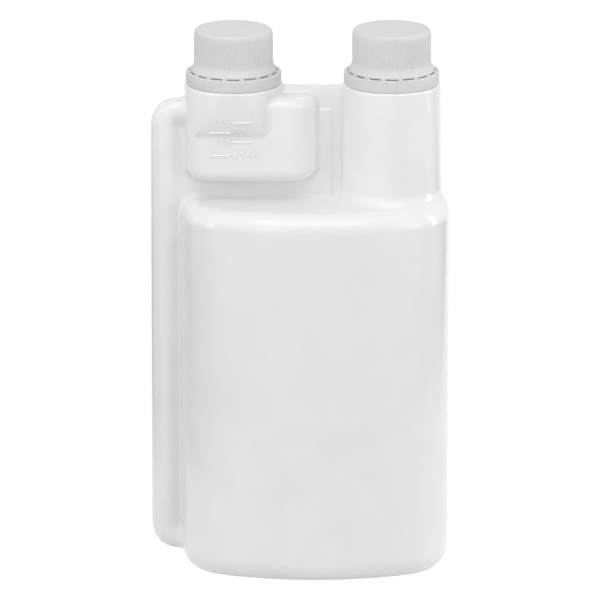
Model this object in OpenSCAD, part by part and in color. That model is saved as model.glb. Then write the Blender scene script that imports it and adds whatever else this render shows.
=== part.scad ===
// Twin-neck dosing bottle: a blown body with a filler neck, an outside filling tube and a
// measuring chamber, closed by two screw caps with tamper bands.
// The front is towards -Y. The origin is under the middle of the part, on the floor.

/* [Body] */
// Width of the body across its front
body_w = 107; // [98:1:118]
// Depth of the body from front to back
body_d = 72; // [64:1:80]
// Height of the shoulder above the floor
body_h = 152; // [135:1:175]
// Radius of the front and back faces, seen from above
face_r = 100; // [90:1:130]
// Radius of the two side faces, seen from above
side_r = 70; // [62:1:90]
// Radius of the four corners, seen from above
corner_r = 22; // [18:1:26]
// Rounding between the sides and the base
base_round = 9; // [7:0.5:11]
// Rounding between the sides and the shoulder
shoulder_round = 7; // [5:0.5:9]
// Width of the flat ring that the bottle stands on
foot_w = 4; // [3:0.5:8]
// Height of the hollow under the base
push_up = 2.6; // [1.5:0.1:4]
// Thickness of the blown wall
wall = 1.2; // [0.9:0.1:1.6]

/* [Columns] */
// Diameter of the round column under each neck
column_d = 39; // [36:1:42]
// Height of the top of both columns above the shoulder
column_rise = 46.5; // [42:0.5:56]
// Distance between the axes of the two necks
neck_spacing = 63; // [59:1:69]
// Distance from the filler column to the side of the body
filler_inset = 3.5; // [2:0.5:8]
// Rounding at the top of each column
column_round = 1.6; // [1:0.1:2.4]
// Height of the sloping blend round the foot of the filler column
foot_blend = 1.6; // [0.6:0.1:3]

/* [Measuring chamber] */
// Clear height between the shoulder and the chamber
chamber_lift = 8; // [6:0.5:13]
// Depth of the chamber from front to back
chamber_d = 27; // [22:0.5:31]
// Height of the chamber's upright front above its floor
chamber_front_h = 19.5; // [15:0.5:23]
// Distance that the chamber's side block reaches past the dosing column
block_reach = 13.8; // [8:0.1:17]
// Distance from the top of the side block up to the top of the column
block_drop = 4; // [3:0.1:8]
// Rounding along the chamber's floor
chamber_round = 5.5; // [3:0.5:7]
// Rounding along the top of the side block
block_round = 4; // [2:0.5:6]
// Radius of the upright corners at the end of the side block
block_end_r = 10.5; // [7:0.5:12]
// Heights of the measuring marks above the chamber's floor
mark_rises = [11.3, 16.9, 20.9, 24.9]; // [8:0.1:28]
// Length of each mark
mark_l = 8.4; // [5:0.1:12]
// Width of the raised bar of each mark
mark_w = 0.7; // [0.4:0.1:1]
// Height of the marks above the chamber's wall
mark_h = 0.4; // [0.2:0.1:0.6]

/* [Filling tube and web] */
// Outside diameter of the filling tube
tube_d = 10.4; // [9:0.1:12]
// Distance that the tube stands out past the side of the body
tube_reach = 12; // [11:0.5:16]
// Height of the underside of the tube's lower bend above the floor
tube_low = 5.5; // [4:0.5:12]
// Distance from the top of the tube up to the top of the column
tube_drop = 6.1; // [4:0.1:10]
// Radius of the middle line of the two bends
bend_r = 5.6; // [5.5:0.1:8]
// Thickness of the flat web that joins tube, chamber and columns
web_t = 2.4; // [1.8:0.1:3]
// Distance from the top of the columns down to the web between them
web_drop = 1; // [0.5:0.1:3]

/* [Necks] */
// Diameter of the hole through each neck
bore_d = 21.6; // [19:0.2:23]
// Diameter of the neck between its threads
neck_d = 25.6; // [25:0.1:26]
// Height of the neck's rim above the column
neck_h = 19.4; // [18:0.1:24]
// Diameter of the collar below the bead
collar_d = 30.4; // [29.6:0.1:30.8]
// Height of the collar
collar_h = 2.6; // [2.2:0.1:3]
// Diameter of the bead that holds the tamper band
bead_d = 33; // [32.4:0.1:33.4]
// Height of the bead's upright face
bead_h = 0.9; // [0.6:0.1:1.1]
// Height of the slope above the bead
bead_slope = 0.9; // [0.6:0.1:1.1]
// Rounding of the rim
rim_round = 0.5; // [0.3:0.1:0.8]

/* [Threads] */
// Rise of the thread in one turn
thread_pitch = 3.2; // [2.8:0.1:3.6]
// Number of turns of each thread
thread_turns = 1.75; // [1:0.25:2]
// Height of the thread above the wall that carries it
thread_depth = 0.95; // [0.8:0.05:1.1]
// Width of the thread where it meets the wall
thread_root_w = 1.5; // [1.2:0.1:1.6]
// Width of the thread's crest
thread_crest_w = 0.6; // [0.4:0.1:0.8]
// Distance from the rim down to the middle of the upper end of the neck's thread
thread_drop = 1.9; // [1.5:0.1:3]

/* [Caps] */
// Diameter of the cap between its ribs
cap_d = 31; // [30.6:0.1:31.4]
// Diameter of the bore inside the cap
cap_bore_d = 28.2; // [28:0.1:28.6]
// Thickness of the top of the cap
cap_top_t = 1.6; // [1.2:0.1:2.2]
// Rounding of the cap's top edge
cap_round = 1.3; // [0.8:0.1:2]
// Diameter of the flared foot of the cap
flange_d = 34; // [33.4:0.1:34.4]
// Height of the flare
flange_h = 3.4; // [2:0.1:4.4]
// Height of the upright edge below the flare
flange_edge = 0.5; // [0.3:0.1:0.8]
// Number of grip ribs round the cap
rib_count = 60; // [48:1:72]
// Radius of each rib's rounded crest
rib_r = 0.45; // [0.3:0.05:0.6]
// Thickness of the sealing liner
liner_t = 1.2; // [0.8:0.1:1.6]
// Gap between the liner and the bore of the cap
liner_gap = 0.2; // [0.1:0.05:0.4]

/* [Tamper bands] */
// Outside diameter of the band
band_d = 38; // [37.4:0.1:39]
// Height of the band
band_h = 4.7; // [4.6:0.1:5.2]
// Thickness of the band's wall
band_t = 1.7; // [1.3:0.1:1.9]
// Gap between the band and the column that it stands over
band_gap = 0.3; // [0.2:0.05:0.4]
// Inside diameter of the lip that catches under the bead
lip_d = 31.3; // [31.2:0.1:31.6]
// Height of the lip
lip_h = 2; // [1.4:0.1:2.1]
// Number of bridges that tear when the cap is first opened
bridge_count = 16; // [10:1:20]
// Width of each bridge
bridge_w = 1.4; // [0.6:0.1:2]
// Distance that each bridge reaches in under the foot of the cap
bridge_reach = 0.7; // [0.4:0.1:1]
// Height of the slit between the band and the cap
slit_h = 0.4; // [0.3:0.05:0.6]
// Gap between each bridge and the foot of the cap
bridge_gap = 0.1; // [0.05:0.05:0.2]

/* [Hidden] */
$fn = 96;

hdpe = [0.93, 0.93, 0.93];
cap_white = [0.86, 0.86, 0.86];
foam_white = [0.97, 0.97, 0.95];

// How far a cut runs past the face that it opens
overrun = 1;
// How far a piece that is added to a wall reaches into it
sink = 0.3;

// Places along X, from the middle of the part
body_x = tube_reach / 2;
tube_x = body_x - body_w / 2 - tube_reach + tube_d / 2;
filler_x = body_x + body_w / 2 - filler_inset - column_d / 2;
dosing_x = filler_x - neck_spacing;
block_end_x = dosing_x + column_d / 2 + block_reach;

// Heights
column_top = body_h + column_rise;
chamber_floor = body_h + chamber_lift;
block_top = column_top - block_drop;
tube_low_z = tube_low + tube_d / 2;
tube_high_z = column_top - tube_drop - tube_d / 2;
rim_z = column_top + neck_h;
liner_top = rim_z + liner_t;
cap_top = liner_top + cap_top_t;
band_foot = column_top + band_gap;
band_top = band_foot + band_h;
cap_foot = band_top + slit_h;

// Centres and joints of the eight arcs of the oval outline
half_w = body_w / 2;
half_d = body_d / 2;
face_c = [0, half_d - face_r];
side_c = [half_w - side_r, 0];
arc_gap = norm(side_c - face_c);
to_corner = face_r - corner_r;
along = (to_corner ^ 2 - (side_r - corner_r) ^ 2 + arc_gap ^ 2) / (2 * arc_gap);
across = sqrt(to_corner ^ 2 - along ^ 2);
arc_dir = (side_c - face_c) / arc_gap;
corner_c = face_c + along * arc_dir + across * [arc_dir[1], -arc_dir[0]];
// Steps of the outline along half a face, half a side and a corner, and round an edge
face_steps = 6;
side_steps = 4;
corner_steps = 8;
edge_steps = 5;
face_a = atan2(corner_c[1] - face_c[1], corner_c[0] - face_c[0]);
side_a = atan2(corner_c[1] - side_c[1], corner_c[0] - side_c[0]);

// Slope from the chamber's upright front out to the face of the column
slope_top = column_top - column_round;
slope_foot = chamber_floor + chamber_front_h;
slope_a = atan2((column_d - chamber_d) / 2, slope_top - slope_foot);

// Resolution of the threads
steps_a_turn = 36;
// Share of a turn over which a thread runs out at each end, and the height left there
run_out_share = 0.08;
thread_end_share = 0.2;

// A rectangle from r0 to r1 and from z0 to z1, with its two outer corners rounded
module rounded_edge(r0, r1, z0, z1, low, high) {
    translate([r0, z0 + low]) square([r1 - r0, z1 - z0 - low - high]);
    translate([r0, z0]) square([r1 - r0 - low, z1 - z0 - high]);
    translate([r0, z0 + low]) square([r1 - r0 - high, z1 - z0 - low]);
    intersection() {
        translate([r0, z0]) square([r1 - r0, z1 - z0]);
        union() {
            if (low > 0) translate([r1 - low, z0 + low]) circle(low);
            if (high > 0) translate([r1 - high, z1 - high]) circle(high);
        }
    }
}

// A point of the body's outline moved in by inset, where the outline faces the direction a
function oval_point(a, inset) = let (
    q = acos(abs(cos(a))),
    c = q < side_a ? side_c : q > face_a ? face_c : corner_c,
    r = (q < side_a ? side_r : q > face_a ? face_r : corner_r) - inset)
    [sign(cos(a)) * (c[0] + r * cos(q)), sign(sin(a)) * (c[1] + r * sin(q))];

// An oval block: the body's outline moved in by inset, with rounded edges below and above
module oval_block(inset, z0, z1, low, high) {
    quarter = [for (i = [0:side_steps - 1]) side_a * i / side_steps,
               for (i = [0:corner_steps - 1]) side_a + (face_a - side_a) * i / corner_steps,
               for (i = [0:face_steps - 1]) face_a + (90 - face_a) * i / face_steps];
    n = len(quarter);
    ways = [for (t = [0:3], i = [0:n - 1])
        t % 2 == 0 ? 90 * t + quarter[i] : 90 * t + 90 - (i == 0 ? 90 : quarter[n - i])];
    rows = [if (low > 0) for (i = [0:edge_steps - 1]) let (a = 90 * i / edge_steps)
                [inset + low * (1 - sin(a)), z0 + low * (1 - cos(a))],
            [inset, z0 + low], [inset, z1 - high],
            if (high > 0) for (i = [1:edge_steps]) let (a = 90 * i / edge_steps)
                [inset + high * (1 - cos(a)), z1 - high * (1 - sin(a))]];
    m = len(ways);
    last = m * (len(rows) - 1);
    translate([body_x, 0, 0]) polyhedron(
        [for (row = rows, a = ways) let (p = oval_point(a, row[0])) [p[0], p[1], row[1]]],
        [[for (i = [0:m - 1]) i], [for (i = [m - 1:-1:0]) last + i],
         for (k = [0:len(rows) - 2], i = [0:m - 1]) let (j = (i + 1) % m)
            [m * k + i, m * k + m + i, m * k + m + j, m * k + j]]);
}

// A plate standing in the plane of the two necks, drawn as X and Z, t thick
module upright(t) {
    translate([0, t / 2, 0]) rotate([90, 0, 0]) linear_extrude(t) children();
}

// A bar along X from x0 to x1, drawn as Y and Z
module along_x(x0, x1) {
    translate([x0, 0, 0]) rotate([90, 0, 90]) linear_extrude(x1 - x0) children();
}

// The chamber from the side, moved in by inset: upright walls, then the slope to the column
module chamber_side(inset) {
    half = chamber_d / 2 - inset;
    floor_z = chamber_floor + inset;
    round_r = chamber_round - inset;
    break_z = slope_foot + inset * tan(slope_a / 2);
    out = (column_top - break_z) * tan(slope_a);
    polygon([[-half, floor_z + round_r], [half, floor_z + round_r], [half, break_z],
             [half + out, column_top], [-half - out, column_top], [-half, break_z]]);
    translate([-half + round_r, floor_z]) square([2 * (half - round_r), round_r]);
    for (side = [-1, 1]) translate([side * (half - round_r), floor_z + round_r]) circle(round_r);
}

// The part of the chamber under the dosing neck: a column with two flattened faces
module dosing_column(inset) {
    intersection() {
        translate([dosing_x, 0, 0]) rotate_extrude()
            rounded_edge(0, column_d / 2 - inset, chamber_floor + inset, column_top - inset,
                         chamber_round - inset, max(column_round - inset, 0));
        along_x(dosing_x - column_d, dosing_x + column_d) chamber_side(inset);
    }
}

// The chamber's side block, rounded along its floor, its top and its upright corners
module side_block(inset) {
    half = chamber_d / 2 - inset;
    end_x = block_end_x - inset;
    end_r = block_end_r - inset;
    low = chamber_round - inset;
    high = block_round - inset;
    z0 = chamber_floor + inset;
    z1 = block_top - inset;
    intersection() {
        upright(chamber_d) rounded_edge(dosing_x, end_x, z0, z1, low, high);
        along_x(dosing_x, end_x) {
            rounded_edge(0, half, z0, z1, low, high);
            mirror([1, 0]) rounded_edge(0, half, z0, z1, low, high);
        }
        translate([0, 0, z0]) linear_extrude(z1 - z0) {
            translate([dosing_x, -half]) square([end_x - end_r - dosing_x, 2 * half]);
            translate([dosing_x, end_r - half])
                square([end_x - dosing_x, 2 * (half - end_r)]);
            for (side = [-1, 1]) translate([end_x - end_r, side * (half - end_r)]) circle(end_r);
        }
    }
}

// The filling tube: out of the body's side, up past the shoulder and into the chamber
module filling_tube(r, body_end, chamber_end) {
    for (low = [true, false]) {
        z = low ? tube_low_z : tube_high_z;
        side = low ? 1 : -1;
        end_x = low ? body_end : chamber_end;
        translate([tube_x + bend_r, 0, z + side * bend_r]) rotate([90, 0, 0])
            rotate([0, 0, low ? 180 : 90]) rotate_extrude(angle = 90)
                translate([bend_r, 0]) circle(r);
        translate([tube_x + bend_r, 0, z]) rotate([0, 90, 0])
            cylinder(r = r, h = end_x - tube_x - bend_r);
    }
    translate([tube_x, 0, tube_low_z + bend_r])
        cylinder(r = r, h = tube_high_z - tube_low_z - 2 * bend_r);
}

// The flat web in the parting plane, from the tube across to the filler column
module web() {
    upright(web_t) polygon([
        [tube_x, tube_low_z + bend_r], [tube_x, tube_high_z - bend_r],
        [tube_x + bend_r, tube_high_z], [dosing_x, tube_high_z],
        [dosing_x, column_top - web_drop], [filler_x, column_top - web_drop],
        [filler_x, tube_low_z], [tube_x + bend_r, tube_low_z]]);
}

// The filler column, with a sloping blend at its foot that runs out to the body's side
module filler_column() {
    column_r = column_d / 2;
    low_z = body_h - shoulder_round;
    reach = filler_inset - sink;
    translate([filler_x, 0, 0]) rotate_extrude() {
        rounded_edge(0, column_r, low_z, column_top, 0, column_round);
        polygon([[0, low_z], [column_r + reach, low_z],
                 [column_r + reach, body_h + foot_blend - reach],
                 [column_r, body_h + foot_blend], [0, body_h + foot_blend]]);
    }
}

// Neck above a column: collar, bead and plain wall up to the rim
module neck() {
    bead_z = column_top + collar_h;
    slope_z = bead_z + bead_h + bead_slope;
    rotate_extrude() polygon([
        [0, column_top - wall], [collar_d / 2, column_top - wall], [collar_d / 2, bead_z],
        [bead_d / 2, bead_z], [bead_d / 2, bead_z + bead_h], [neck_d / 2, slope_z],
        [neck_d / 2, rim_z - rim_round], [neck_d / 2 - rim_round, rim_z], [0, rim_z]]);
}

// One screw thread as a swept bar. The crest is towards +1, outwards, or -1, inwards
module thread(root_r, z0, way) {
    steps = round(steps_a_turn * thread_turns);
    points = [for (i = [0:steps]) let (
        turned = i / steps * thread_turns,
        left = min(turned, thread_turns - turned),
        grown = min(1, thread_end_share + (1 - thread_end_share) * left / run_out_share),
        foot_r = root_r - way * sink,
        crest_r = root_r + way * grown * thread_depth,
        z = z0 + turned * thread_pitch)
        each [for (corner = [[foot_r, -thread_root_w], [crest_r, -thread_crest_w],
                             [crest_r, thread_crest_w], [foot_r, thread_root_w]])
            [corner[0] * cos(360 * turned), corner[0] * sin(360 * turned),
             z + corner[1] / 2]]];
    ring = [0, 1, 2, 3];
    last = 4 * steps;
    sides = [for (i = [0:steps - 1], k = ring) let (n = (k + 1) % 4)
        each [[4 * i + k, 4 * i + n, 4 * i + 4 + n], [4 * i + k, 4 * i + 4 + n, 4 * i + 4 + k]]];
    ends = [[2, 1, 0], [3, 2, 0], [last, last + 1, last + 2], [last, last + 2, last + 3]];
    faces = concat(sides, ends);
    polyhedron(points, way > 0 ? faces : [for (f = faces) [f[2], f[1], f[0]]]);
}

// Lower end of the neck's thread. The cap's thread runs half a pitch below it
function neck_thread_z() = rim_z - thread_drop - thread_turns * thread_pitch;

// Raised bars of the measuring marks, to the right and to the left of the numbers in turn
module marks() {
    for (i = [0:len(mark_rises) - 1]) {
        right = i % 2 == 1;
        rise = mark_rises[i];
        lean = max(0, rise - chamber_front_h) * tan(slope_a);
        translate([dosing_x - (right ? 0 : mark_l),
                   -chamber_d / 2 - lean - mark_h, chamber_floor + rise - mark_w / 2])
            cube([mark_l, mark_h + sink, mark_w]);
    }
}

// All of the bottle's outside, filled
module bottle_outside() {
    oval_block(0, 0, body_h, base_round, shoulder_round);
    filler_column();
    dosing_column(0);
    side_block(0);
    filling_tube(tube_d / 2, tube_x + tube_reach, dosing_x);
    web();
    marks();
    for (x = [filler_x, dosing_x]) translate([x, 0, 0]) {
        neck();
        thread(neck_d / 2, neck_thread_z(), 1);
    }
}

// Everything inside the blown wall
module bottle_inside() {
    foot_inset = base_round + foot_w;
    difference() {
        oval_block(wall, wall, body_h - wall, base_round - wall, shoulder_round - wall);
        oval_block(foot_inset - wall, 0, push_up + wall, 0, push_up);
    }
    translate([filler_x, 0, 0]) rotate_extrude()
        rounded_edge(0, column_d / 2 - wall, body_h - shoulder_round, column_top - wall,
                     0, column_round - wall);
    dosing_column(wall);
    side_block(wall);
    filling_tube(tube_d / 2 - wall, tube_x + tube_reach + wall + corner_r / 2, dosing_x);
    for (x = [filler_x, dosing_x]) translate([x, 0, column_top - column_round - wall])
        cylinder(d = bore_d, h = rim_z - column_top + column_round + wall + overrun);
}

// The blown bottle: one hollow piece, with a hollow under its base
module bottle() {
    color(hdpe) difference() {
        bottle_outside();
        bottle_inside();
        oval_block(base_round + foot_w, -overrun, push_up, 0, push_up - wall / 2);
    }
}

// Sealing disc that lies between the rim and the top of the cap
module liner() {
    color(foam_white) translate([0, 0, rim_z])
        cylinder(d = cap_bore_d - 2 * liner_gap, h = liner_t);
}

// The cap's outside in section: flared foot, upright wall and rounded top edge
module cap_section() {
    cap_r = cap_d / 2;
    step = flange_d / 2 - cap_r;
    flare_z = cap_foot + flange_edge + flange_h;
    rounded_edge(0, cap_r, cap_foot, cap_top, 0, cap_round);
    polygon([[0, cap_foot], [flange_d / 2, cap_foot], [flange_d / 2, cap_foot + flange_edge],
             [cap_r + step / 3, cap_foot + flange_edge + flange_h / 3], [cap_r, flare_z],
             [0, flare_z]]);
}

// Screw cap: ribbed shell with a flared foot, and a thread inside
module cap() {
    rib_foot = cap_foot + flange_edge + flange_h / 2;
    rib_top = cap_top - cap_round - rib_r;
    color(cap_white) {
        difference() {
            union() {
                rotate_extrude() cap_section();
                for (i = [0:rib_count - 1]) rotate([0, 0, i * 360 / rib_count])
                    translate([cap_d / 2, 0, rib_foot])
                        cylinder(r = rib_r, h = rib_top - rib_foot);
            }
            translate([0, 0, cap_foot - overrun])
                cylinder(d = cap_bore_d, h = liner_top - cap_foot + overrun);
        }
        thread(cap_bore_d / 2, neck_thread_z() - thread_pitch / 2, -1);
    }
}

// Tamper band: a ring with a catching lip below, and the small bridges round its top
module band() {
    band_r = band_d / 2;
    inner_r = band_r - band_t;
    bridge_in = flange_d / 2 - bridge_reach;
    bridge_foot = band_top - sink;
    color(cap_white) {
        rotate_extrude() polygon([
            [lip_d / 2, band_foot], [band_r, band_foot], [band_r, band_top],
            [inner_r, band_top], [inner_r, band_foot + lip_h], [lip_d / 2, band_foot + lip_h]]);
        for (i = [0:bridge_count - 1]) rotate([0, 0, (i + 1 / 2) * 360 / bridge_count])
            translate([bridge_in, -bridge_w / 2, bridge_foot])
                cube([inner_r - bridge_in + sink, bridge_w,
                      cap_foot - bridge_gap - bridge_foot]);
    }
}

bottle();
translate([filler_x, 0, 0]) band();  // filler_band
translate([filler_x, 0, 0]) liner();  // filler_liner
translate([filler_x, 0, 0]) cap();  // filler_cap
translate([dosing_x, 0, 0]) band();  // dosing_band
translate([dosing_x, 0, 0]) liner();  // dosing_liner
translate([dosing_x, 0, 0]) cap();  // dosing_cap
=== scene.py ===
import math

import bpy
import numpy as np
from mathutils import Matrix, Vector

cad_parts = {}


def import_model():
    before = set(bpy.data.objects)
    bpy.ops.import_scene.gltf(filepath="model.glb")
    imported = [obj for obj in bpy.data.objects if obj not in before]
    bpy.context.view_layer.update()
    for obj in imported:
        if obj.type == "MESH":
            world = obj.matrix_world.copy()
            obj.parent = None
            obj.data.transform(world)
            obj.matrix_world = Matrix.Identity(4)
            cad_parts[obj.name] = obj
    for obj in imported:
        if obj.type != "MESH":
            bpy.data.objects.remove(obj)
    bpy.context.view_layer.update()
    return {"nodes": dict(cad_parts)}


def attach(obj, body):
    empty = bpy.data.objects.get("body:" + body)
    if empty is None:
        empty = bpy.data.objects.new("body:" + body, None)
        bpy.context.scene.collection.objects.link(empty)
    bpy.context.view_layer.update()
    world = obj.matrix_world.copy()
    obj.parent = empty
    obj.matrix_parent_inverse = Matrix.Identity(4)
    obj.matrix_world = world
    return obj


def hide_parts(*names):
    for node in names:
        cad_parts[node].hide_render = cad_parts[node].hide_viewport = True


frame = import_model()

# Sizes of the bottle in millimetres, as packed or as measured again in the photograph
MM = 0.001
BODY_X, HALF_W, HALF_D, BODY_H = 6.0, 53.5, 36.0, 152.0
FACE_R, SIDE_R, CORNER_R = 100.0, 70.0, 22.0
BASE_ROUND, SHOULDER_ROUND, FOOT_W = 9.0, 7.0, 4.0
PUSH_UP, PUSH_ROUND, FOOT_EDGE = 2.6, 2.0, 1.0
FILLER_X, DOSING_X, COLUMN_R, COLUMN_TOP, COLUMN_ROUND = 36.5, -26.5, 19.5, 198.5, 0.9
DRAFT_TOP, DRAFT_GAIN, DRAFT_TRIM = 0.05, 0.55, 0.1
CHAMBER_FLOOR, CHAMBER_HALF, CHAMBER_ROUND = 160.0, 13.5, 5.5
CHAMBER_EDGE, CHAMBER_EDGE_LOSS = 1.2, 0.8
SLOPE_FOOT, SLOPE_TOP, SLOPE_BLEND = 179.5, 198.5, 0.5
SLOPE_SWELL, SLOPE_FADE, SLOPE_LEAN = 1.6, 2.6, 0.225
FACET_X, FACET_ACROSS, FACET_OUT, FACET_ROUND = 11.2, 0.29, 0.957, 0.3
BLOCK_REACH, BLOCK_END, BLOCK_TOP, BLOCK_ROUND, BLOCK_END_R = 12.0, 6.8, 194.5, 4.0, 12.0
TUBE_X, TUBE_R, TUBE_REACH, TUBE_LOW, TUBE_HIGH, BEND_R = -54.3, 5.2, 12.0, 10.7, 187.2, 5.6
WEB_T, WEB_EDGE, WEB_DROP, TUBE_WEB_T = 2.4, 0.7, 1.0, 5.2
TAPER_END, TAPER_W = 12.0, 14.0
FILLER_FILLET, WEB_FILLET, CHAMBER_FILLET, TUBE_WEB_FILLET, TUBE_FILLET = 4.0, 1.0, 1.6, 3.0, 2.0
BELOW_BASE, FILLER_LOW, BORE_LOW = -20.0, 120.0, 170.0
BORE_R, NECK_R, RIM_Z, COLLAR_R, COLLAR_H, NECK_INSIDE = 10.8, 12.8, 217.9, 15.2, 2.6, 24.0
BEAD_R, BEAD_H, BEAD_SLOPE = 16.5, 0.9, 0.9
THREAD_PITCH, THREAD_TURNS, THREAD_DEPTH, THREAD_DROP, THREAD_FADE = 3.2, 1.75, 0.95, 1.9, 0.1
CAP_R, CAP_BORE_R, CAP_TOP, CAP_FOOT, CAP_ROUND, CAP_EDGE = 15.5, 14.1, 220.7, 203.7, 1.3, 0.3
FLANGE_R, FLANGE_H, FLANGE_EDGE, LINER_TOP = 17.15, 3.4, 0.5, 219.1
RIBS, RIB_STEPS, RIB_OUT, RIB_W, RIB_DROP = 120, 6, 0.2, 0.5, 0.25
BAND_R, BAND_IN, LIP_R, LIP_H, BAND_FOOT, BAND_TOP = 19.0, 17.3, 15.65, 2.0, 198.55, 203.5
BRIDGES, BRIDGE_IN, BRIDGE_W, BRIDGE_BEVEL = 16, 17.18, 1.9, 0.12
BRIDGE_DEEP, BRIDGE_SUNK, BRIDGE_OVER = 0.6, 0.8, 0.3
MARK_RISES, MARK_L, MARK_SHIFT, MARK_GAP = (11.7, 17.3, 21.5, 25.9), 8.4, 1.0, 0.3
FIGURE_OUT, FIGURE_SHARE = 0.3, 0.72


def join(a, b, r):
    """Union of two distance fields, with a hollow fillet of radius r."""
    return np.maximum(r, np.minimum(a, b)) - np.hypot(np.maximum(r - a, 0), np.maximum(r - b, 0))


def meet(a, b, r):
    """Intersection of two distance fields, with a rounded edge of radius r."""
    return np.minimum(-r, np.maximum(a, b)) + np.hypot(np.maximum(r + a, 0), np.maximum(r + b, 0))


def corner_field(a, b, r):
    """Distance to a rounded corner from the distances to its two sides, moved in by r."""
    return np.minimum(np.maximum(a, b), 0) + np.hypot(np.maximum(a, 0), np.maximum(b, 0)) - r


def rise(plan, z, low, high, r_low, r_high):
    """A plan's distance carried from low to high, with rounded edges."""
    r = np.where(z > (low + high) / 2, r_high, r_low)
    return corner_field(plan + r, np.maximum(low - z, z - high) + r, r)


def arc_centres():
    """Centres of the outline's face, side and corner arcs, in the quarter towards +X and +Y."""
    face = np.array([0, HALF_D - FACE_R])
    side = np.array([HALF_W - SIDE_R, 0])
    gap = np.linalg.norm(side - face)
    out = FACE_R - CORNER_R
    along = (out ** 2 - (SIDE_R - CORNER_R) ** 2 + gap ** 2) / (2 * gap)
    across = math.sqrt(out ** 2 - along ** 2)
    u = (side - face) / gap
    return face, side, face + along * u + across * np.array([u[1], -u[0]])


FACE_C, SIDE_C, CORNER_C = arc_centres()


def oval(x, y):
    """Distance to the body's outline of arcs, seen from above."""
    px, py = np.abs(x - BODY_X), np.abs(y)
    to_face = np.hypot(px - FACE_C[0], py - FACE_C[1]) - FACE_R
    to_side = np.hypot(px - SIDE_C[0], py - SIDE_C[1]) - SIDE_R
    to_corner = np.hypot(px - CORNER_C[0], py - CORNER_C[1]) - CORNER_R
    f, s = CORNER_C - FACE_C, CORNER_C - SIDE_C
    in_face = (px - FACE_C[0]) * f[1] < (py - FACE_C[1]) * f[0]
    in_side = (py - SIDE_C[1]) * s[0] < (px - SIDE_C[0]) * s[1]
    flat = np.maximum(np.where(in_face, to_face, -1e3), np.where(in_side, to_side, -1e3))
    return np.where(in_face | in_side, flat, to_corner)


def box_plan(x, y, low_x, high_x, half, r):
    """Distance to a rectangle seen from above, with rounded corners."""
    across = np.abs(x - (low_x + high_x) / 2) - (high_x - low_x) / 2 + r
    return corner_field(across, np.abs(y) - half + r, r)


def tube_line(x, y, z):
    """Distance to the middle line of the filling tube."""
    lift = np.minimum(z - TUBE_LOW, TUBE_HIGH - z)
    end = np.where(z > (TUBE_HIGH + TUBE_LOW) / 2, DOSING_X, TUBE_X + TUBE_REACH)
    a, b = x - TUBE_X - BEND_R, lift - BEND_R
    bend = np.abs(np.hypot(a, b) - BEND_R)
    upright = np.hypot(x - TUBE_X, np.maximum(-b, 0))
    level = np.hypot(np.maximum(np.maximum(-a, x - end), 0), lift)
    return np.hypot(np.where((a < 0) & (b < 0), bend, np.minimum(upright, level)), y)


def slope(z):
    """How far the chamber's front stands out of its upright part, and how steeply it leans."""
    over = z - SLOPE_FOOT
    reach = np.hypot(over, SLOPE_BLEND)
    u = (over + reach) / 2
    fade = np.exp(-u / SLOPE_FADE)
    lean = (SLOPE_SWELL / SLOPE_FADE * fade + SLOPE_LEAN) * (1 + over / reach) / 2
    return SLOPE_SWELL * (1 - fade) + SLOPE_LEAN * u, lean


def chamber(x, y, z):
    """The measuring chamber: a column with two flattened faces, and a block beside it."""
    up = np.clip((z - SLOPE_FOOT) / (SLOPE_TOP - SLOPE_FOOT), 0, 1)
    out, lean = slope(z)
    proud = np.abs(y) - CHAMBER_HALF - out
    facet = (np.abs(x - DOSING_X) - FACET_X) * FACET_ACROSS + proud * FACET_OUT
    flats = meet(proud / np.hypot(1, lean), facet, FACET_ROUND)
    edge = CHAMBER_EDGE - CHAMBER_EDGE_LOSS * up ** 0.25
    pillar = meet(np.hypot(x - DOSING_X, y) - COLUMN_R, flats, edge)
    column = rise(pillar, z, CHAMBER_FLOOR, COLUMN_TOP, CHAMBER_ROUND, COLUMN_ROUND)
    plan = box_plan(x, y, DOSING_X - BLOCK_REACH, BLOCK_END, CHAMBER_HALF, BLOCK_END_R)
    beside = rise(plan, z, CHAMBER_FLOOR, BLOCK_TOP, CHAMBER_ROUND, BLOCK_ROUND)
    beside = np.maximum(beside, DOSING_X - x)
    return join(column, beside, np.clip((z - SLOPE_FOOT) * 0.3, 0.01, CHAMBER_EDGE))


def web(x, y, z):
    """The flat web in the parting plane, thin in the middle and thick beside the tube."""
    def plate(x0, x1, z0, z1):
        return np.maximum(np.abs(x - (x0 + x1) / 2) - (x1 - x0) / 2,
                          np.abs(z - (z0 + z1) / 2) - (z1 - z0) / 2)
    thin = meet(plate(DOSING_X - BLOCK_REACH, FILLER_X, TUBE_LOW, COLUMN_TOP - WEB_DROP),
                np.abs(y) - WEB_T / 2, WEB_EDGE)
    taper = np.clip((TAPER_END - x) / TAPER_W, 0, 1)
    half = (WEB_T + (TUBE_WEB_T - WEB_T) * taper * taper * (3 - 2 * taper)) / 2
    thick = np.maximum(plate(TUBE_X, TAPER_END, TUBE_LOW, TUBE_HIGH), np.abs(y) - half)
    return thin, thick


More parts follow.
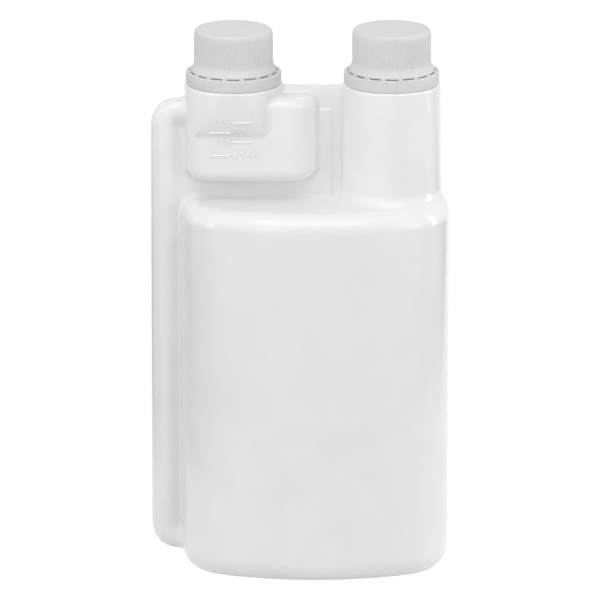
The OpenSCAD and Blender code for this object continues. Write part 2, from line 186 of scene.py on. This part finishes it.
def bottle(x, y, z):
    """The whole outside of the bottle up to the top of its columns."""
    body = rise(oval(x, y), z, 0.0, BODY_H, BASE_ROUND, SHOULDER_ROUND)
    hollow = rise(oval(x, y) + BASE_ROUND + FOOT_W, z, BELOW_BASE, PUSH_UP, FOOT_EDGE, PUSH_ROUND)
    body = meet(body, -hollow, FOOT_EDGE)
    draft = DRAFT_TOP + DRAFT_GAIN * np.clip((COLUMN_TOP - z) / (COLUMN_TOP - BODY_H), 0, 1)
    round_part = np.hypot(x - FILLER_X, y) - COLUMN_R - draft + DRAFT_TRIM
    filler = rise(round_part, z, FILLER_LOW, COLUMN_TOP, 1.0, COLUMN_ROUND)
    solid = join(body, filler, FILLER_FILLET)
    thin, thick = web(x, y, z)
    solid = join(solid, thin, WEB_FILLET)
    solid = join(solid, chamber(x, y, z), CHAMBER_FILLET)
    tube = join(thick, tube_line(x, y, z) - TUBE_R, TUBE_WEB_FILLET)
    solid = join(solid, tube, TUBE_FILLET)
    for centre in (FILLER_X, DOSING_X):
        solid = np.maximum(solid, -np.maximum(np.hypot(x - centre, y) - BORE_R, BORE_LOW - z))
    return solid


def steps_of(*marks):
    """Grid lines between marks of (place, cell)."""
    lines = [np.linspace(a, b, max(1, round((b - a) / cell)), endpoint=False)
             for (a, cell), (b, _) in zip(marks, marks[1:])]
    return np.append(np.concatenate(lines), marks[-1][0])


def gradient(field, p, h=0.03):
    """Slope of a field at each point, from points h to both sides."""
    g = np.empty_like(p)
    for k in range(3):
        up, down = p.copy(), p.copy()
        up[:, k] += h
        down[:, k] -= h
        g[:, k] = (field(*up.T) - field(*down.T)) / (2 * h)
    return g


def surface(field, xs, ys, zs, pulls=5, most=0.6):
    """Points, quads and normals on the zero level of a field: one point to each crossed cell."""
    grid = np.meshgrid(xs, ys, zs, indexing="ij")
    d = field(*[g.ravel() for g in grid]).reshape(grid[0].shape)
    total = np.zeros(tuple(n - 1 for n in d.shape) + (3,))
    count = np.zeros(total.shape[:3])
    axes = (xs, ys, zs)
    crossings = []
    for axis in range(3):
        a = np.take(d, np.arange(d.shape[axis] - 1), axis)
        b = np.take(d, np.arange(1, d.shape[axis]), axis)
        at = np.argwhere((a < 0) != (b < 0))
        va, vb = a[tuple(at.T)], b[tuple(at.T)]
        point = np.stack([axes[k][at[:, k]] for k in range(3)], 1)
        line = axes[axis]
        point[:, axis] += va / (va - vb) * (line[at[:, axis] + 1] - line[at[:, axis]])
        one, two = [k for k in range(3) if k != axis]
        cells = []
        for i, j in ((0, 0), (-1, 0), (-1, -1), (0, -1)):
            cell = at.copy()
            cell[:, one] += i
            cell[:, two] += j
            np.add.at(total, tuple(cell.T), point)
            np.add.at(count, tuple(cell.T), 1)
            cells.append(cell)
        crossings.append((cells, (va < 0) != (axis == 1)))
    number = np.full(count.shape, -1)
    used = count > 0
    number[used] = np.arange(used.sum())
    points = total[used] / count[used][:, None]
    quads = []
    for cells, outward in crossings:
        q = np.stack([number[tuple(c.T)] for c in cells], 1)
        quads.append(np.where(outward[:, None], q, q[:, ::-1]))
    for _ in range(pulls):
        v = field(*points.T)
        g = gradient(field, points)
        points -= np.clip(v / np.maximum((g * g).sum(1), 0.2), -most, most)[:, None] * g
    g = gradient(field, points)
    return points, np.vstack(quads), g / np.maximum(np.linalg.norm(g, axis=1), 1e-9)[:, None]


def placed(name, data):
    """A new object in the scene."""
    ob = bpy.data.objects.new(name, data)
    bpy.context.scene.collection.objects.link(ob)
    return ob


def piece(name, points, faces, body, material, slot, normals=None, smooth=50):
    """A mesh piece in millimetres that rides on a body."""
    me = bpy.data.meshes.new(name)
    me.from_pydata((np.asarray(points, float) * MM).tolist(), [],
                   [list(map(int, f)) for f in faces])
    me.update()
    me.shade_smooth()
    if normals is None:
        me.set_sharp_from_angle(angle=math.radians(smooth))
    else:
        me.normals_split_custom_set_from_vertices(np.asarray(normals).tolist())
    me.materials.append(material)
    ob = placed(name, me)
    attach(ob, body)
    return ob


def loop_faces(rows, n, first=0):
    """Quads between rows of n points that each close in a loop."""
    return [(first + i * n + k, first + i * n + (k + 1) % n,
             first + (i + 1) * n + (k + 1) % n, first + (i + 1) * n + k)
            for i in range(rows - 1) for k in range(n)]


def turned(profile, centre, steps=144):
    """A closed profile of (radius, height) turned about an upright axis."""
    a = np.arange(steps) * 2 * math.pi / steps
    points = [[centre + r * math.cos(t), r * math.sin(t), z] for t in a for r, z in profile]
    n = len(profile)
    faces = []
    for i in range(steps):
        j = (i + 1) % steps
        for k in range(n):
            m = (k + 1) % n
            faces.append((i * n + k, j * n + k, j * n + m, i * n + m))
    return points, faces


def rounded(corners, steps=4):
    """A closed profile through (r, z, rounding radius) corners."""
    out = []
    for i, (x, z, r) in enumerate(corners):
        p, s = (np.array(corners[(i + k) % len(corners)][:2], float) for k in (-1, 1))
        q = np.array([x, z], float)
        if r <= 0:
            out.append(tuple(q))
            continue
        u, v = (p - q) / np.linalg.norm(p - q), (s - q) / np.linalg.norm(s - q)
        half = math.acos(max(-1, min(1, float(u @ v)))) / 2
        cut = min(r / math.tan(half), np.linalg.norm(p - q) * 0.48, np.linalg.norm(s - q) * 0.48)
        a, b = q + u * cut, q + v * cut
        for k in range(steps + 1):
            t = k / steps
            out.append(tuple((1 - t) ** 2 * a + 2 * t * (1 - t) * q + t * t * b))
    return out


def thread(centre, root, low, way, steps=72):
    """A screw thread as a bar with a rounded crest, thinning out at both ends."""
    section = [(-0.3, -0.78), (0.45, -0.52), (0.88, -0.3), (1.0, 0.0), (0.88, 0.3), (0.45, 0.52),
               (-0.3, 0.78)]
    n, m = int(steps * THREAD_TURNS), len(section)
    points = []
    for i in range(n + 1):
        t = i / n * THREAD_TURNS
        grown = min(1.0, 0.05 + min(t, THREAD_TURNS - t) / THREAD_FADE)
        for out, up in section:
            r = root + way * out * (THREAD_DEPTH * grown if out > 0 else 1)
            a = 2 * math.pi * t
            points.append([centre + r * math.cos(a), r * math.sin(a), low + t * THREAD_PITCH + up])
    faces = loop_faces(n + 1, m)
    faces += [tuple(range(m))[::-1], tuple(range(n * m, n * m + m))]
    return points, faces if way < 0 else [f[::-1] for f in faces]


def together(*parts):
    """Points and faces of several parts as one mesh."""
    points, faces = [], []
    for p, f in parts:
        base = len(points)
        points += list(p)
        faces += [tuple(int(i) + base for i in q) for q in f]
    return points, faces


def neck(centre):
    """Collar, bead, plain wall, rim, bore and outside thread of one neck."""
    bead = COLUMN_TOP + COLLAR_H
    bead_top = bead + BEAD_H + BEAD_SLOPE
    foot = COLUMN_TOP - 1.0
    profile = rounded([(BORE_R, foot - NECK_INSIDE, 0), (BORE_R, RIM_Z, 0.6),
                       (NECK_R, RIM_Z, 0.6), (NECK_R, bead_top, 0.5),
                       (BEAD_R, bead + BEAD_H, 0.3), (BEAD_R, bead, 0.15),
                       (COLLAR_R, bead, 0.1), (COLLAR_R, foot, 0),
                       (NECK_R, foot - NECK_INSIDE, 0)])
    return together(turned(profile[::-1], centre),
                    thread(centre, NECK_R, RIM_Z - THREAD_DROP - THREAD_TURNS * THREAD_PITCH, 1))


def cap(centre):
    """A ribbed screw cap with a flared skirt, its bore and its inside thread."""
    # Each row is a radius, a height and the share of the rib that stands on it
    outer = [(0.02, CAP_TOP - 0.12, 0), (4, CAP_TOP - 0.11, 0), (8, CAP_TOP - 0.06, 0),
             (12.0, CAP_TOP, 0)]
    crown_r = CAP_R - CAP_ROUND
    for k in range(9):
        a = math.pi / 2 * k / 8
        outer.append((crown_r + CAP_ROUND * math.sin(a),
                      CAP_TOP - CAP_ROUND * (1 - math.cos(a)), 0))
    rib_top = CAP_TOP - CAP_ROUND - RIB_DROP
    flare = CAP_FOOT + FLANGE_EDGE + FLANGE_H
    for share, rib in ((0.0, 0.0), (0.02, 0.45), (0.045, 0.8), (0.075, 1.0), (0.3, 1.0),
                       (0.6, 1.0), (0.9, 1.0), (1.0, 1.0)):
        outer.append((CAP_R, rib_top + (flare - rib_top) * share, rib))
    for k in range(1, 7):
        t = k / 6
        outer.append((CAP_R + (FLANGE_R - CAP_R) * (0.35 * t + 0.65 * t * t),
                      flare - FLANGE_H * t, 1 - t))
    outer += [(FLANGE_R, CAP_FOOT + 0.05, 0), (FLANGE_R - 0.05, CAP_FOOT, 0),
              (CAP_BORE_R + CAP_EDGE, CAP_FOOT, 0), (CAP_BORE_R, CAP_FOOT + CAP_EDGE, 0),
              (CAP_BORE_R, LINER_TOP, 0), (0.02, LINER_TOP, 0)]
    steps = RIBS * RIB_STEPS
    a = np.arange(steps) * 2 * math.pi / steps
    from_rib = (np.arange(steps) + RIB_STEPS / 2) % RIB_STEPS - RIB_STEPS / 2
    along = from_rib * 2 * math.pi * CAP_R / steps
    crest = RIB_OUT * np.sqrt(np.maximum(0, 1 - (along / (RIB_W / 2)) ** 2))
    rows = [np.stack([centre + (r + rib * crest) * np.cos(a), (r + rib * crest) * np.sin(a),
                      np.full(steps, z)], 1) for r, z, rib in outer]
    faces = []
    for k in range(len(rows) - 1):
        for i in range(steps):
            j = (i + 1) % steps
            faces.append((k * steps + j, k * steps + i, (k + 1) * steps + i, (k + 1) * steps + j))
    last = (len(rows) - 1) * steps
    faces += [tuple(range(steps)), tuple(range(last, last + steps))[::-1]]
    low = RIM_Z - THREAD_DROP - THREAD_TURNS * THREAD_PITCH - THREAD_PITCH / 2
    return together((np.vstack(rows).tolist(), faces), thread(centre, CAP_BORE_R, low, -1))


def block(centre, turn, r0, r1, width, z0, z1, bevel):
    """A small block standing across the radius r0..r1 at an angle, with bevelled top edges."""
    c, s = math.cos(turn), math.sin(turn)
    points = []
    for z, inset in ((z0, 0), (z1 - bevel, 0), (z1, bevel)):
        for r, w in ((r0 + inset, -1), (r1 - inset, -1), (r1 - inset, 1), (r0 + inset, 1)):
            t = w * (width / 2 - inset)
            points.append([centre + r * c - t * s, r * s + t * c, z])
    return points, [(3, 2, 1, 0), (8, 9, 10, 11)] + loop_faces(3, 4)


def band(centre):
    """A tamper band under its cap, with the small bridges that tear on first opening."""
    ring = rounded([(LIP_R, BAND_FOOT, 0.3), (BAND_R, BAND_FOOT, 0.35),
                    (BAND_R, BAND_TOP, 0.4), (BAND_IN, BAND_TOP, 0.1),
                    (BAND_IN, BAND_FOOT + LIP_H, 0.2), (LIP_R, BAND_FOOT + LIP_H, 0.3)])
    parts = [turned(ring, centre, 192)]
    for i in range(BRIDGES):
        turn = (i + 0.5) * 2 * math.pi / BRIDGES
        parts.append(block(centre, turn, BRIDGE_IN, BAND_IN + BRIDGE_DEEP, BRIDGE_W,
                           BAND_TOP - BRIDGE_SUNK, CAP_FOOT + BRIDGE_OVER, BRIDGE_BEVEL))
    return together(*parts)


def nodes_of(name):
    """A new material, its node tree and its surface shader."""
    mat = bpy.data.materials.new(name)
    mat.use_nodes = True
    return mat, mat.node_tree, mat.node_tree.nodes["Principled BSDF"]


def add(tree, kind, **sockets):
    """A new shader node with the values of its sockets, an underscore for each space."""
    node = tree.nodes.new(kind)
    for key, value in sockets.items():
        node.inputs[key.replace("_", " ")].default_value = value
    return node


def maths(tree, operation, a, b=0.0, clamp=False):
    """The outcome of a sum on two numbers or sockets."""
    node = tree.nodes.new("ShaderNodeMath")
    node.operation, node.use_clamp = operation, clamp
    for socket, value in zip(node.inputs, (a, b)):
        if isinstance(value, (int, float)):
            socket.default_value = value
        else:
            tree.links.new(value, socket)
    return node.outputs[0]


def noise(tree, place, scale, detail, roughness=0.5):
    """The level of a noise texture."""
    node = add(tree, "ShaderNodeTexNoise", Scale=scale, Detail=detail, Roughness=roughness)
    tree.links.new(place, node.inputs["Vector"])
    return node.outputs["Fac"]


def tinted(tree, skin, level, low, high, ends=(0.0, 1.0)):
    """Base colour between two colours by a level, with the levels where the change ends."""
    ramp = add(tree, "ShaderNodeValToRGB")
    for stop, place, colour in zip(ramp.color_ramp.elements, ends, (low, high)):
        stop.position, stop.color = place, (*colour, 1)
    tree.links.new(level, ramp.inputs["Fac"])
    tree.links.new(ramp.outputs["Color"], skin.inputs["Base Color"])


def roughened(tree, skin, level, low, high):
    """Roughness between two values by a level."""
    rough = add(tree, "ShaderNodeMapRange", To_Min=low, To_Max=high)
    tree.links.new(level, rough.inputs["Value"])
    tree.links.new(rough.outputs["Result"], skin.inputs["Roughness"])


def embossed(tree, skin, height, strength, distance):
    """Fine relief by a height."""
    bump = add(tree, "ShaderNodeBump", Strength=strength, Distance=distance)
    tree.links.new(height, bump.inputs["Height"])
    tree.links.new(bump.outputs["Normal"], skin.inputs["Normal"])


def translucent(skin, weight, depth):
    """Light that soaks in and comes out beside where it fell."""
    skin.inputs["Subsurface Weight"].default_value = weight
    skin.inputs["Subsurface Radius"].default_value = (1, 1, 1)
    skin.inputs["Subsurface Scale"].default_value = depth


def hdpe(name="natural_hdpe", glow=0.35, painted_highlight=0.0):
    """Natural HDPE blown in a mould: satin skin, soft unevenness and the parting line's ridge. A
    lift of the base grey, where one is given, is a painted highlight.
    """
    seam_half, seam_rise, uneven_rise, grain_rise = 0.00032, 0.00012, 0.00008, 0.000004
    mat, tree, skin = nodes_of(name)
    place = add(tree, "ShaderNodeTexCoord").outputs["Object"]
    uneven = noise(tree, place, 26.0, 2.0)
    grain = noise(tree, place, 1500.0, 3.0, 0.55)
    cloud = noise(tree, place, 60.0, 3.0)
    # The base grey varies at random; the added lift on top of it is a painted highlight
    tinted(tree, skin, cloud, (0.835 + painted_highlight, 0.835 + painted_highlight, 0.832 + painted_highlight),
           (0.865 + painted_highlight, 0.865 + painted_highlight, 0.863 + painted_highlight), (0.3, 0.7))
    roughened(tree, skin, cloud, 0.17, 0.23)
    axes = add(tree, "ShaderNodeSeparateXYZ")
    tree.links.new(place, axes.inputs[0])
    off = maths(tree, "MULTIPLY", maths(tree, "ABSOLUTE", axes.outputs["Y"]), 1 / seam_half)
    seam = maths(tree, "SUBTRACT", 1.0, maths(tree, "MULTIPLY", off, off), clamp=True)
    height = maths(tree, "ADD", maths(tree, "MULTIPLY", uneven, uneven_rise),
                   maths(tree, "MULTIPLY", grain, grain_rise))
    height = maths(tree, "ADD", height, maths(tree, "MULTIPLY", seam, seam_rise))
    embossed(tree, skin, height, 1.0, 1.0)
    translucent(skin, glow, 0.0025)
    skin.inputs["IOR"].default_value = 1.5
    return mat


def cap_plastic():
    """White moulded cap plastic with a fine satin grain."""
    mat, tree, skin = nodes_of("white_cap_plastic")
    place = add(tree, "ShaderNodeTexCoord").outputs["Object"]
    grain = noise(tree, place, 2600.0, 2.0)
    tinted(tree, skin, noise(tree, place, 180.0, 2.0), (0.665, 0.665, 0.665), (0.69, 0.69, 0.69))
    roughened(tree, skin, grain, 0.5, 0.6)
    embossed(tree, skin, grain, 1.0, 0.000006)
    translucent(skin, 0.08, 0.0008)
    return mat


def foam():
    """Matt closed-cell foam of the sealing liners."""
    mat, tree, skin = nodes_of("liner_foam")
    cells = add(tree, "ShaderNodeTexVoronoi", Scale=2400.0)
    tree.links.new(add(tree, "ShaderNodeTexCoord").outputs["Object"], cells.inputs["Vector"])
    tinted(tree, skin, cells.outputs["Distance"], (0.82, 0.82, 0.8), (0.9, 0.9, 0.88))
    embossed(tree, skin, cells.outputs["Distance"], 0.6, 0.00005)
    skin.inputs["Roughness"].default_value = 0.85
    return mat


HDPE, CAP_WHITE, FOAM = hdpe(), cap_plastic(), foam()
# The marks and figures: a paler copy of the plastic, a painted highlight for the light their
# raised tops catch
PAINTED_HIGHLIGHT_MARKS = hdpe("natural_hdpe_marks_painted_highlight", 0.0, 0.09)

# The bottle's skin: a fine grid where its form is detailed, long cells down the plain body
COARSE, FINE, LONG = 1.1, 0.62, 7.0
xs = steps_of((-60.6, COARSE), (-47.0, FINE), (9.0, COARSE), (60.9, 0))
ys = steps_of((-37.4, COARSE), (-20.0, FINE), (-9.0, COARSE), (9.0, FINE), (20.0, COARSE),
              (37.4, 0))
zs = steps_of((-1.3, COARSE), (18.0, LONG), (141.0, COARSE), (157.0, FINE), (200.0, 0))
points, quads, normals = surface(bottle, xs, ys, zs)
shell = piece("bottle_skin", points, quads, "bottle", HDPE, "natural_hdpe", normals)
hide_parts("bottle")

for name, centre in (("filler", FILLER_X), ("dosing", DOSING_X)):
    piece(name + "_neck", *neck(centre), "bottle", HDPE, "natural_hdpe", smooth=40)
    ring = piece(name + "_tamper_band", *band(centre), "bottle", CAP_WHITE, "white_cap_plastic",
                 smooth=35)
    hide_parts(name + "_band")
    lid = piece(name + "_ribbed_cap", *cap(centre), name + "_cap", CAP_WHITE, "white_cap_plastic",
                smooth=55)
    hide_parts(name + "_cap")
    liner = frame["nodes"][name + "_liner"]
    liner.data.materials.clear()
    liner.data.materials.append(FOAM)


def front(z):
    """Place along Y and tilt of the chamber's front face at a height."""
    out, lean = slope(z)
    return -CHAMBER_HALF - out, math.atan(lean)


def mark_bar(x, z, length):
    """A raised bar on the chamber's front, with a rounded top."""
    y, tilt = front(z)
    out = np.array([0, -math.cos(tilt), -math.sin(tilt)])
    up = np.array([0, -math.sin(tilt), math.cos(tilt)])
    middle = np.array([x, y, z])
    points = []
    section = [(-0.42, -0.3), (-0.3, 0.22), (-0.12, 0.38), (0.12, 0.38), (0.3, 0.22), (0.42, -0.3)]
    ends = ((-length / 2, 0.5), (-length / 2 + 0.25, 1), (length / 2 - 0.25, 1), (length / 2, 0.5))
    for along, size in ends:
        for v, h in section:
            points.append(middle + np.array([along, 0, 0]) + up * v * size
                          + out * (h if h < 0 else h * size))
    m, n = len(section), len(points)
    faces = loop_faces(len(ends), m) + [tuple(range(m))[::-1], tuple(range(n - m, n))]
    return [p.tolist() for p in points], faces


def label(name, text, x, z, height, width):
    """Raised figures that follow the chamber's front, x and z at the middle of the text."""
    curve = bpy.data.curves.new(name, "FONT")
    curve.body = text
    curve.align_x, curve.align_y = "CENTER", "CENTER"
    curve.size = height / FIGURE_SHARE
    curve.extrude = FIGURE_OUT
    source = placed(name + "_text", curve)
    bpy.context.view_layer.update()
    me = bpy.data.meshes.new_from_object(source)
    bpy.data.objects.remove(source)
    me.name = name
    wide = max(v.co.x for v in me.vertices) - min(v.co.x for v in me.vertices)
    for v in me.vertices:
        high = z + v.co.y
        v.co = Vector((x + v.co.x * width / wide, front(high)[0] - v.co.z, high)) * MM
    me.materials.clear()
    me.materials.append(PAINTED_HIGHLIGHT_MARKS)
    ob = placed(name, me)
    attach(ob, "bottle")


# The measuring marks, from the lowest up: bars to the left and right by turns
bars = []
for i, up in enumerate(MARK_RISES):
    side = 1 if i % 2 else -1
    bars.append(mark_bar(DOSING_X - MARK_SHIFT + side * (MARK_L / 2 + MARK_GAP),
                         CHAMBER_FLOOR + up, MARK_L))
piece("chamber_mark_bars", *together(*bars), "bottle", PAINTED_HIGHLIGHT_MARKS, "natural_hdpe", smooth=60)
label("figure_25", "25", DOSING_X - 4.4, CHAMBER_FLOOR + MARK_RISES[3], 3.4, 5.0)
label("figure_20", "20", DOSING_X + 2.3, CHAMBER_FLOOR + MARK_RISES[2], 3.8, 4.4)
label("figure_15", "15", DOSING_X - 3.3, CHAMBER_FLOOR + MARK_RISES[1], 3.4, 3.9)
label("figure_10", "10", DOSING_X + 1.6, CHAMBER_FLOOR + MARK_RISES[0], 3.3, 4.2)
label("figure_ml", "ML", DOSING_X + 8.1, CHAMBER_FLOOR + MARK_RISES[0] - 0.2, 2.9, 5.6)


# Floor, light and camera, in metres
FLOOR_R, FLOOR_Z, FLOOR_SIDES = 6.0, -0.00002, 48
CARD_NEAR, CARD_FAR, CARD_Z = -0.3, 0.5, 0.001


def seen(tree):
    """One for rays from the camera, from a glossy surface or through a clear one, else nought."""
    path = tree.nodes.new("ShaderNodeLightPath")
    level = maths(tree, "MAXIMUM", path.outputs["Is Camera Ray"], path.outputs["Is Glossy Ray"])
    return maths(tree, "MAXIMUM", level, path.outputs["Is Transmission Ray"])


def white_floor():
    """A white that keeps a faint contact shadow."""
    mat = bpy.data.materials.new("white_floor")
    mat.use_nodes = True
    tree = mat.node_tree
    tree.nodes.clear()
    out = tree.nodes.new("ShaderNodeOutputMaterial")
    plain = add(tree, "ShaderNodeBsdfDiffuse", Color=(0.8, 0.8, 0.8, 1))
    white = add(tree, "ShaderNodeEmission", Color=(1, 1, 1, 1), Strength=1.05)
    mix = tree.nodes.new("ShaderNodeMixShader")
    tree.links.new(maths(tree, "MULTIPLY", seen(tree), 0.94), mix.inputs[0])
    tree.links.new(plain.outputs[0], mix.inputs[1])
    tree.links.new(white.outputs[0], mix.inputs[2])
    tree.links.new(mix.outputs[0], out.inputs["Surface"])
    return mat


def stage_sheet(name, corners, material):
    """One flat face of the stage."""
    me = bpy.data.meshes.new(name)
    me.from_pydata(corners, [], [tuple(range(len(corners)))])
    me.materials.append(material)
    placed(name, me)


def card(name, x0, x1):
    """A card on the floor beside the view: dark in the edges, white for the camera."""
    mat, tree, surface_shader = nodes_of(name)
    surface_shader.inputs["Base Color"].default_value = (0.06, 0.06, 0.06, 1)
    surface_shader.inputs["Roughness"].default_value = 1.0
    surface_shader.inputs["Emission Color"].default_value = (1, 1, 1, 1)
    path = tree.nodes.new("ShaderNodeLightPath")
    tree.links.new(path.outputs["Is Camera Ray"], surface_shader.inputs["Emission Strength"])
    stage_sheet(name, [(x0, CARD_NEAR, CARD_Z), (x1, CARD_NEAR, CARD_Z),
                       (x1, CARD_FAR, CARD_Z), (x0, CARD_FAR, CARD_Z)], mat)


def world(level):
    """White where it is seen or mirrored, a plain grey light for everything else."""
    studio = bpy.data.worlds.new("studio")
    bpy.context.scene.world = studio
    studio.use_nodes = True
    tree = studio.node_tree
    back = tree.nodes["Background"]
    strength = maths(tree, "ADD", level, maths(tree, "MULTIPLY", seen(tree), 1.0 - level))
    tree.links.new(strength, back.inputs["Strength"])
    back.inputs["Color"].default_value = (1, 1, 1, 1)


def lamp(name, azimuth, elevation, distance, size, watts):
    """A soft box that looks at the bottle. Azimuth 0 is the camera's side, 90 is to the right."""
    data = bpy.data.lights.new(name, "AREA")
    data.shape, data.size, data.size_y, data.energy = "RECTANGLE", size[0], size[1], watts
    ob = placed(name, data)
    a, e = math.radians(azimuth), math.radians(elevation)
    way = Vector((math.sin(a) * math.cos(e), -math.cos(a) * math.cos(e), math.sin(e)))
    ob.location = Vector((0, 0, 0.11)) + way * distance
    ob.rotation_euler = way.to_track_quat("Z", "Y").to_euler()


stage_sheet("studio_floor", [(math.cos(a) * FLOOR_R, math.sin(a) * FLOOR_R, FLOOR_Z)
                             for a in np.linspace(0, 2 * math.pi, FLOOR_SIDES, endpoint=False)],
            white_floor())
world(0.43)
lamp("left_graze", -97, 12, 1.0, (0.2, 0.8), 1.0)
lamp("left_box", -58, 12, 1.3, (0.34, 0.9), 2.9)
lamp("left_front", -22, 12, 1.3, (0.4, 0.9), 1.3)
lamp("right_box", 54, 12, 1.3, (0.4, 0.9), 2.8)
lamp("right_graze", 97, 12, 1.0, (0.2, 0.8), 3.2)
lamp("high_left", -35, 50, 0.6, (0.4, 0.4), 0.25)
lamp("high_front", 0, 60, 0.5, (0.4, 0.3), 0.7)
lamp("back_box", 180, 30, 1.4, (0.8, 0.8), 1.2)
card("left_card", -0.6, -0.18)
card("right_card", 0.3, 0.7)

# The photograph's view: from the front, a little above, with a long lens
CAM_E, CAM_D, PIXEL, AIM = math.radians(15.0), 4.0, 0.4011 * MM, Vector((0, 0, 0.1087))
SENSOR, SIDE_PIXELS = 36, 600
camera = placed("camera", bpy.data.cameras.new("camera"))
camera.data.sensor_width = SENSOR
camera.data.lens = SENSOR * CAM_D / (SIDE_PIXELS * PIXEL)
camera.data.clip_start, camera.data.clip_end = 0.05, 50
back = Vector((0, -math.cos(CAM_E), math.sin(CAM_E)))
camera.location = AIM + back * CAM_D
camera.rotation_euler = back.to_track_quat("Z", "Y").to_euler()
bpy.context.scene.camera = camera
bpy.context.scene.view_settings.view_transform = "Standard"
